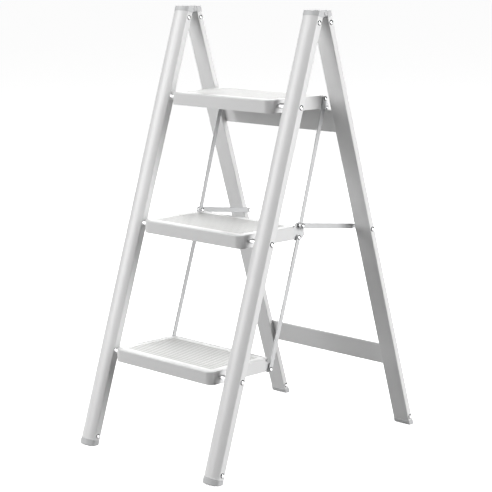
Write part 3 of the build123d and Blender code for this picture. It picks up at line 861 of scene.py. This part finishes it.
@dataclass
class Treads:
    """The three ribbed plates: rounded ribs across each step, cut by fine cross nicks."""

    thickness: float = 1.2 * MM
    margin: float = 9.5 * MM
    corner: float = 6.35 * MM
    ribs: int = 14
    rib_share: float = 0.58
    rib_edge: float = 0.10
    rib_camber: float = 0.25
    rib_taper: float = 1.6 * MM
    nicks: int = 44
    nick_depth: float = 0.45
    nick_half: float = 0.14
    nick_edge: float = 0.10
    least_corner: float = 0.5 * MM
    spot_middle: Pair = (0.5, 0.55)  # of the trodden patch, in shares of the ribbed field
    spot_reach: Pair = (0.34, 0.36)
    border_crown: float = 0.9
    crease: float = 30.0

    # where one pitch is sampled, closest together on the flanks
    RIB_STATIONS: ClassVar[tuple[float, ...]] = (0.0, 0.19, 0.25, 0.32, 0.5, 0.68, 0.75, 0.81)
    NICK_STATIONS: ClassVar[tuple[float, ...]] = (0.0, 0.34, 0.42, 0.5, 0.58, 0.66)
    # millimetres: from the ribbed field to the border's first ring
    BORDER_GAP: ClassVar[float] = 0.5
    # millimetres: how far inside the plate's edge, and how far below its flat
    BORDER: ClassVar[tuple[Pair, ...]] = ((0.9, 0.0), (0.35, 0.12), (0.08, 0.42), (0.0, 0.8))

    def _rib(self, phase: np.ndarray) -> np.ndarray:
        """Rib profile over one pitch: an eased plateau with a slight crown, 0 in the groove.

        Args:
            phase: places within the pitch, 0 to 1.
        Returns:
            Shares of the ribs' rise.
        """
        off = np.abs(phase - 0.5)
        plateau = smooth_step((self.rib_share / 2 - off) / self.rib_edge)
        return plateau * (1.0 - self.rib_camber * (off / (self.rib_share / 2)) ** 2)

    def _nick(self, phase: np.ndarray) -> np.ndarray:
        """Cross nick over one pitch: an eased notch at the middle, 1 at its bottom.

        Args:
            phase: places within the pitch, 0 to 1.
        Returns:
            Shares of the nicks' depth.
        """
        return smooth_step((self.nick_half - np.abs(phase - 0.5)) / self.nick_edge)

    def _outline(
        self, low: Vector, high: Vector, inset: float, height: float, field: np.ndarray
    ) -> np.ndarray:
        """Rounded rectangle with a point for every point of the field's edge, found by pushing out.

        Each edge point is scaled out to the sharp rectangle; near a corner it is drawn back on to
        the corner circle along the line from the circle's centre.

        Args:
            low: lowest corner of the plate.
            high: highest corner of the plate.
            inset: how far inside the plate's edge the outline runs.
            height: its Z.
            field: the field's edge points, shaped (n, 3).
        Returns:
            The outline's points, shaped (n, 3).
        """
        middle = np.array([(low.x + high.x) / 2, (low.y + high.y) / 2])
        half = np.array([(high.x - low.x) / 2, (high.y - low.y) / 2]) - inset
        inner = np.abs(field[:, :2] - middle).max(axis=0)
        spread = (field[:, :2] - middle) / inner * half
        radius = max(self.corner - inset, self.least_corner)
        core = half - radius
        past = np.abs(spread) - core
        length = np.maximum(np.hypot(past[:, 0], past[:, 1]), TINY)[:, None]
        on_circle = core + past / length * radius
        in_corner = (past > 0).all(axis=1)[:, None]
        placed = np.where(in_corner, on_circle, np.abs(spread)) * np.sign(spread)
        return np.column_stack([placed + middle, np.full(len(placed), height)])

    def _stations(self, pitches: int, within: Sequence[float]) -> np.ndarray:
        """Repeat the sampling of one pitch over all of them.

        Args:
            pitches: how many there are.
            within: places within one pitch, 0 to 1.
        Returns:
            Places from 0 to 1 over the whole run.
        """
        places = np.arange(pitches)[:, None] + np.array(within)
        return np.append(places.ravel(), pitches) / pitches

    def _plate(self, name: str, node: str) -> bpy.types.Object:
        """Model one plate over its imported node.

        The field is a height over a grid: rib profile along Y times an eased fade at the ribs'
        ends, less the nicks' share along X. The border and the edge are rings round the field.

        Args:
            name: the object's name.
            node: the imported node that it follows.
        Returns:
            The plate.
        """
        low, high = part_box(node)
        level = low.z + self.thickness
        rise = high.z - level
        reach = np.array([[low.x, high.x], [low.y, high.y]]) + self.margin * np.array([1.0, -1.0])
        v = self._stations(self.ribs, self.RIB_STATIONS)
        u = self._stations(self.nicks, self.NICK_STATIONS)
        x, y = np.meshgrid(reach[0, 0] + u * np.ptp(reach[0]), reach[1, 0] + v * np.ptp(reach[1]))
        rib = np.tile(self._rib(v * self.ribs % 1.0)[:, None], (1, len(u)))
        ends = smooth_step((0.5 - np.abs(u - 0.5)) * np.ptp(reach[0]) / self.rib_taper)
        crown = rib * ends * (1.0 - self.nick_depth * self._nick(u * self.nicks % 1.0))
        field = np.stack([x, y, level + rise * crown], axis=-1)
        aside = (u - self.spot_middle[0])[None, :] / self.spot_reach[0]
        ahead = (v - self.spot_middle[1])[:, None] / self.spot_reach[1]
        trodden = np.exp(-(np.hypot(aside, ahead) ** 2))
        edge = np.concatenate([field[0, :-1], field[:-1, -1], field[-1, :0:-1], field[:0:-1, 0]])
        border = ((self.margin / MM - self.BORDER_GAP, 0.0), *self.BORDER)
        rings = [edge]
        for inset, fall in border:
            rings.append(self._outline(low, high, inset * MM, level - fall * MM, edge))
        rings.append(self._outline(low, high, 0.0, low.z, edge))
        # crown also sets the sheet's tone: 0 gives the groove colour, painted shade, here along the
        # field's edge
        smooth = np.full((len(rings), len(edge)), self.border_crown)
        smooth[0] = crown[[0, -1]] = crown[:, [0, -1]] = 0.0  # welded points must agree
        shell = Shell(name).patch(field, crown=crown, trodden=trodden)
        shell.patch(np.array(rings), closed=True, crown=smooth).fan(rings[-1])
        return shell.build(self.crease)

    def build(self, wardrobe: Wardrobe) -> None:
        """Make one plate a step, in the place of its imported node.

        Args:
            wardrobe: the materials.
        """
        for step in STEPS:
            plate = self._plate(f"ribbed_tread_{step}", f"step_tread_{step}")
            wardrobe.dress_piece(plate, "tread_white", f"step_{step}", f"step_tread_{step}")


@dataclass(frozen=True)
class Dome:
    """Radius and rise of one end of a rivet."""

    radius: float
    rise: float


@dataclass(frozen=True)
class RivetRow:
    """Rivets of one kind along X, on one side or both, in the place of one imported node."""

    node: str
    body: str
    start: float
    end: float
    shank: float
    head: Dome
    tail: Dome
    at: Optional[Sequence[str]] = None  # joints whose axes they lie on, else the node's middle
    slot: str = "rivet_chrome"
    sides: Sequence[float] = (-1.0, 1.0)


class Rivets:
    """Rivets and pins: a domed head, a shank and a domed tail, turned as one closed profile."""

    plain_head = Dome(4.6 * MM, 2.2 * MM)
    plain_tail = Dome(4.2 * MM, 1.8 * MM)
    pin_head = Dome(4.2 * MM, 1.8 * MM)
    tube_side = 189.0 * MM  # the outer flat side of a rail or leg
    plate_inner = 128.7 * MM
    plate_outer = 130.7 * MM
    pin_end = 135.4 * MM  # outer end of a pin that holds one link
    shank = 2.5 * MM
    flange = 0.35 * MM
    # where the painted dark reflection round a head's rim begins, and how wide its fade is
    painted_rim_start = 0.54
    painted_rim_width = 0.20
    segments = 40
    dome_rings = 12
    crease = 34.0

    def __init__(self, joints: Sequence[Mapping[str, Any]]) -> None:
        """Keep the joints, whose places give the step pivots.

        Args:
            joints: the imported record's joints.
        """
        self.joints = {joint["name"]: joint for joint in joints}

    def rows(self) -> list[RivetRow]:
        """List the kinds of rivet with their lengths.

        Returns:
            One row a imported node.
        """
        outer, inner, shank = self.tube_side, self.plate_inner, self.shank
        through = (150.0 * MM, outer, shank, self.plain_head, self.plain_tail)
        knob = Dome(3.9 * MM, 1.8 * MM)
        hinge = (149.5 * MM, 189.5 * MM, shank, knob, knob)
        broad = (Dome(4.8 * MM, 2.2 * MM), Dome(5.0 * MM, 2.0 * MM))
        pivot = (130.6 * MM, outer, 3.0 * MM, *broad)
        pivots = [f"step_{step}_tip" for step in STEPS]
        anchor = (152.8 * MM, outer, shank, self.plain_head, Dome(4.0 * MM, 1.4 * MM))
        small = Dome(3.2 * MM, 1.6 * MM)
        cut = Dome(2.5 * MM, 0.0)
        pin = (shank, self.pin_head, self.pin_head)
        in_plate = (inner, self.plate_outer, shank)
        in_link = (131.0 * MM, 135.1 * MM, shank, self.pin_head, cut)
        return [
            RivetRow("front_cap_rivets", "front_frame", *through),
            RivetRow("front_foot_rivets", "front_frame", *through),
            RivetRow("rear_cap_rivets", "rear_frame", *through),
            RivetRow("rear_foot_rivets", "rear_frame", *through),
            RivetRow("hinge_pins", "front_frame", *hinge, slot="cap_grey"),
            RivetRow("step_pivot_rivets", "front_frame", *pivot, at=pivots),
            RivetRow("arm_anchor_rivets", "rear_frame", *anchor),
            RivetRow("top_link_pins", "step_top", *in_plate, cut, small),
            RivetRow("top_stop_pins", "step_top", *in_plate, small, small),
            *(
                RivetRow(f"upper_link_pin_{side}", f"upper_link_{side}", *in_link, sides=(sign,))
                for side, sign in SIDES.items()
            ),
            RivetRow("middle_link_pins", "step_middle", inner, 140.9 * MM, *pin),
            RivetRow("middle_lower_pins", "step_middle", inner, self.pin_end, *pin),
            RivetRow("bottom_link_pins", "step_bottom", inner, self.pin_end, *pin),
        ]

    def _end(self, dome: Dome) -> np.ndarray:
        """Profile of a dome from its pole to its flange: a flattened cap over a short upright rim.

        The cap's rise is the rim plus (rise - rim) * (1 - (r / R)^2.4)^0.62.

        Args:
            dome: the dome's radius and rise.
        Returns:
            Points (rise, radius), shaped (n, 2).
        """
        rim = min(self.flange, dome.rise)
        share = np.sin(np.linspace(0.0, 0.5, self.dome_rings) * math.pi)
        height = rim + (dome.rise - rim) * (1.0 - share**2.4) ** 0.62
        profile = np.column_stack([height, share * dome.radius])
        return np.vstack([profile, [0.0, dome.radius]])

    def _profile(self, row: RivetRow) -> np.ndarray:
        """Whole profile from the head's pole to the tail's pole.

        Args:
            row: the kind of rivet.
        Returns:
            Points (x, radius), shaped (n, 2).
        """
        head = self._end(row.head) + np.array([row.end, 0.0])
        tail = self._end(row.tail)[::-1] * np.array([-1.0, 1.0]) + np.array([row.start, 0.0])
        shank = np.array([[row.end, row.shank], [row.start, row.shank]])
        return np.vstack([head, shank, tail])

    def _painted_rims(self, row: RivetRow, profile: np.ndarray) -> np.ndarray:
        """How near each point of the profile is to a head's rim, which sets the painted dark
        reflection there.

        Args:
            row: the kind of rivet.
            profile: its profile's points.
        Returns:
            0 over a head's middle, 1 at its rim, one a point.
        """
        inboard = profile[:, 0] < (row.start + row.end) / 2
        radius = np.where(inboard, row.tail.radius, row.head.radius)
        return smooth_step((profile[:, 1] / radius - self.painted_rim_start) / self.painted_rim_width)

    def _axes(self, row: RivetRow) -> np.ndarray:
        """Find the rivets' axes.

        Args:
            row: the kind of rivet.
        Returns:
            Places (y, z), shaped (n, 2).
        """
        if row.at is not None:
            return np.array([self.joints[name]["pos_m"][1:] for name in row.at])
        middle = sum(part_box(row.node), Vector()) / 2
        return np.array([[middle.y, middle.z]])

    def build(self, wardrobe: Wardrobe) -> None:
        """Turn each row's profile about its axes: y and z go by cosine and sine of the turn.

        Args:
            wardrobe: the materials.
        """
        turn = np.arange(self.segments) * (2 * math.pi / self.segments)
        for row in self.rows():
            profile = self._profile(row)
            shell = Shell(f"{row.node}_domed")
            for sign in row.sides:
                for axis in self._axes(row):
                    x = np.repeat(sign * profile[:, :1], self.segments, axis=1)
                    y = axis[0] + profile[:, 1:] * np.cos(turn)
                    z = axis[1] + profile[:, 1:] * np.sin(turn)
                    # rim: painted dark reflection round each head's rim, read by the chrome
                    rim = np.repeat(self._painted_rims(row, profile)[:, None], self.segments, axis=1)
                    shell.patch(np.stack([x, y, z], axis=-1), closed=True, rim=rim)
            wardrobe.dress_piece(shell.build(self.crease), row.slot, row.body, row.node)


@dataclass
class WeldBeads:
    """Beads that join the cross bars to the legs, laid in the rear corners of each joint."""

    radius: float = 1.5 * MM
    ripple: float = 0.16
    ripple_pitch: float = 1.5 * MM
    end_gap: float = 1.5 * MM
    end_power: int = 20
    flatness: float = 0.72
    sink: float = 0.35 * MM
    rings: int = 150
    segments: int = 14
    crease: float = 60.0

    def _bead(self, shell: Shell, start: np.ndarray, end: np.ndarray, out: np.ndarray) -> None:
        """Carry a flattened circle along a path; its radius ripples and tapers to the ends.

        Args:
            shell: the shell to add to.
            start: one end of the path.
            end: the other end.
            out: unit vector away from the corner.
        """
        run = end - start
        length = float(np.linalg.norm(run))
        down = run / length
        side = np.cross(down, out)
        share = np.linspace(0.0, 1.0, self.rings)
        taper = np.sqrt(np.clip(1.0 - (2.0 * share - 1.0) ** self.end_power, 0.0, 1.0))
        beat = np.abs(np.sin(share * length * (math.pi / self.ripple_pitch)))
        radius = self.radius * taper * (1.0 - self.ripple + self.ripple * beat)
        turn = np.arange(self.segments) * (2 * math.pi / self.segments)
        around = np.cos(turn)[:, None] * out * self.flatness + np.sin(turn)[:, None] * side
        grid = start + share[:, None, None] * run + radius[:, None, None] * around
        shell.patch(grid, closed=True)

    def build(self, wardrobe: Wardrobe, line: TubeLine) -> None:
        """Lay two beads a bar, one a leg.

        Args:
            wardrobe: the materials.
            line: the rear legs' rivet line.
        """
        rear = -line.front
        for bar in ("upper_cross_bar", "lower_cross_bar"):
            low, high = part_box(bar)
            corners = np.array([[0.0, y, z] for y in (low.y, high.y) for z in (low.z, high.z)])
            along = (corners - line.head) @ line.down
            back = ((corners - line.head) @ rear).max()
            shell = Shell(f"{bar}_welds")
            middle = line.head + rear * (back - self.sink)
            for sign in SIDES.values():
                edge = middle + np.array([sign * high.x, 0.0, 0.0])
                out = (rear - np.array([sign, 0.0, 0.0])) / math.sqrt(2.0)
                start = edge + line.down * (along.min() + self.end_gap)
                end = edge + line.down * (along.max() - self.end_gap)
                self._bead(shell, start, end, out)
            wardrobe.dress_piece(shell.build(self.crease), "frame_white", "rear_frame")


class PackedNodes:
    """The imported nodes: tubes, bars, pans, brackets, caps, spacers, links and the rest."""

    def __init__(self, frame: Mapping[str, Any]) -> None:
        """Keep the nodes and the slot of each.

        Args:
            frame: what loading the frame gave.
        """
        self.nodes: Mapping[str, bpy.types.Object] = frame["nodes"]
        parts = frame["record"]["subparts"]
        self.slots = {part["node"]: part["material_slot"] for part in parts}

    def build(self, wardrobe: Wardrobe) -> None:
        """Dress every node in its slot's material, those that a piece replaces among them.

        Args:
            wardrobe: the materials.
        """
        for name, node in self.nodes.items():
            wardrobe.dress_node(node, self.slots[name])


# ---- studio -------------------------------------------------------------------------------------
class Aim(Enum):
    """What a softbox points at."""

    STOOL = (0.0, 0.0, 0.42)
    FLOOR = (0.0, 0.0, 0.0)


@dataclass(frozen=True)
class Softbox:
    """A large area light."""

    name: str
    place: tuple[float, float, float]
    width: float
    height: float
    watts: float
    aim: Aim = Aim.STOOL


@dataclass
class Studio:
    """Pale floor, softboxes, sky and the camera."""

    floor_half: float = 30.0
    floor_lines: int = 13
    floor_colour: Colour = (0.93, 0.93, 0.93)
    camera_place: tuple[float, float, float] = (2.1564, -2.1929, 0.9314)
    camera_azimuth: float = 44.63
    camera_elevation: float = 10.29
    lens: float = 119.1
    sensor: float = 36.0
    far: float = 200.0
    sky: float = 0.97
    boxes: tuple[Softbox, ...] = (
        Softbox("softbox_right", (3.4, 0.9, 1.3), 2.2, 2.2, 130.0),
        Softbox("softbox_left", (-2.4, -2.6, 1.7), 2.4, 2.4, 106.0),
        Softbox("softbox_front", (-0.8, -3.6, 1.6), 2.0, 2.0, 14.0),
        Softbox("softbox_top", (0.0, 0.0, 3.6), 3.0, 3.0, 70.0, Aim.FLOOR),
        Softbox("softbox_back", (-2.6, 2.7, 1.25), 3.0, 1.6, 40.0),
    )

    def _floor(self) -> None:
        """Lay a large flat grid under the stool, which bounces no light on to it."""
        reach = np.linspace(-self.floor_half, self.floor_half, self.floor_lines)
        x, y = np.meshgrid(reach, reach)
        floor = Shell("studio_floor").patch(np.stack([x, y, 0.0 * x], axis=-1)).build()
        floor.data.materials.append(FloorPaint("floor_pale", self.floor_colour).material())
        floor.visible_diffuse = False

    def _light(self, box: Softbox) -> None:
        """Hang one softbox and turn it to what it lights.

        Args:
            box: the softbox.
        """
        data = bpy.data.lights.new(box.name, "AREA")
        data.shape = "RECTANGLE"
        data.size = box.width
        data.size_y = box.height
        data.energy = box.watts
        lamp = bpy.data.objects.new(box.name, data)
        lamp.location = box.place
        run = Vector(box.aim.value) - Vector(box.place)
        lamp.rotation_euler = run.to_track_quat("-Z", "Y").to_euler()
        bpy.context.scene.collection.objects.link(lamp)

    def _camera(self) -> None:
        """Set up the camera at its place, azimuth and elevation."""
        data = bpy.data.cameras.new("camera")
        data.lens = self.lens
        data.sensor_width = self.sensor
        data.clip_end = self.far
        camera = bpy.data.objects.new("camera", data)
        camera.location = self.camera_place
        tilt = math.radians(90.0 - self.camera_elevation)
        camera.rotation_euler = (tilt, 0.0, math.radians(self.camera_azimuth))
        bpy.context.scene.collection.objects.link(camera)
        bpy.context.scene.camera = camera

    def _world(self) -> None:
        """Close the view with an even pale sky that lights nothing and shows in no gloss."""
        world = bpy.data.worlds.new("studio")
        world.use_nodes = True
        sky = world.node_tree.nodes["Background"]
        sky.inputs["Color"].default_value = (1.0, 1.0, 1.0, 1.0)
        sky.inputs["Strength"].default_value = self.sky
        world.cycles_visibility.diffuse = False
        world.cycles_visibility.glossy = False
        bpy.context.scene.world = world

    def build(self) -> None:
        """Set up the whole studio with a plain view transform."""
        self._floor()
        for box in self.boxes:
            self._light(box)
        self._camera()
        self._world()
        bpy.context.scene.view_settings.view_transform = "Standard"


def corners(box: tuple[Vector, Vector]) -> list[list[float]]:
    """Write a box as plain lists of numbers.

    Args:
        box: its lowest and highest corner.
    Returns:
        The two corners.
    """
    return [list(corner) for corner in box]


def main() -> None:
    """Load the frame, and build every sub-assembly in order."""
    logging.basicConfig(level=logging.INFO, format="%(name)s: %(message)s")
    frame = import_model()
    wardrobe = Wardrobe(FINISHES)
    PackedNodes(frame).build(wardrobe)
    Treads().build(wardrobe)
    Boots().build(wardrobe)
    Rivets(frame["joints"]).build(wardrobe)
    WeldBeads().build(wardrobe, TubeLine.between("rear_cap_rivets", "rear_foot_rivets"))
    Studio().build()


if __name__ == "__main__":
    main()
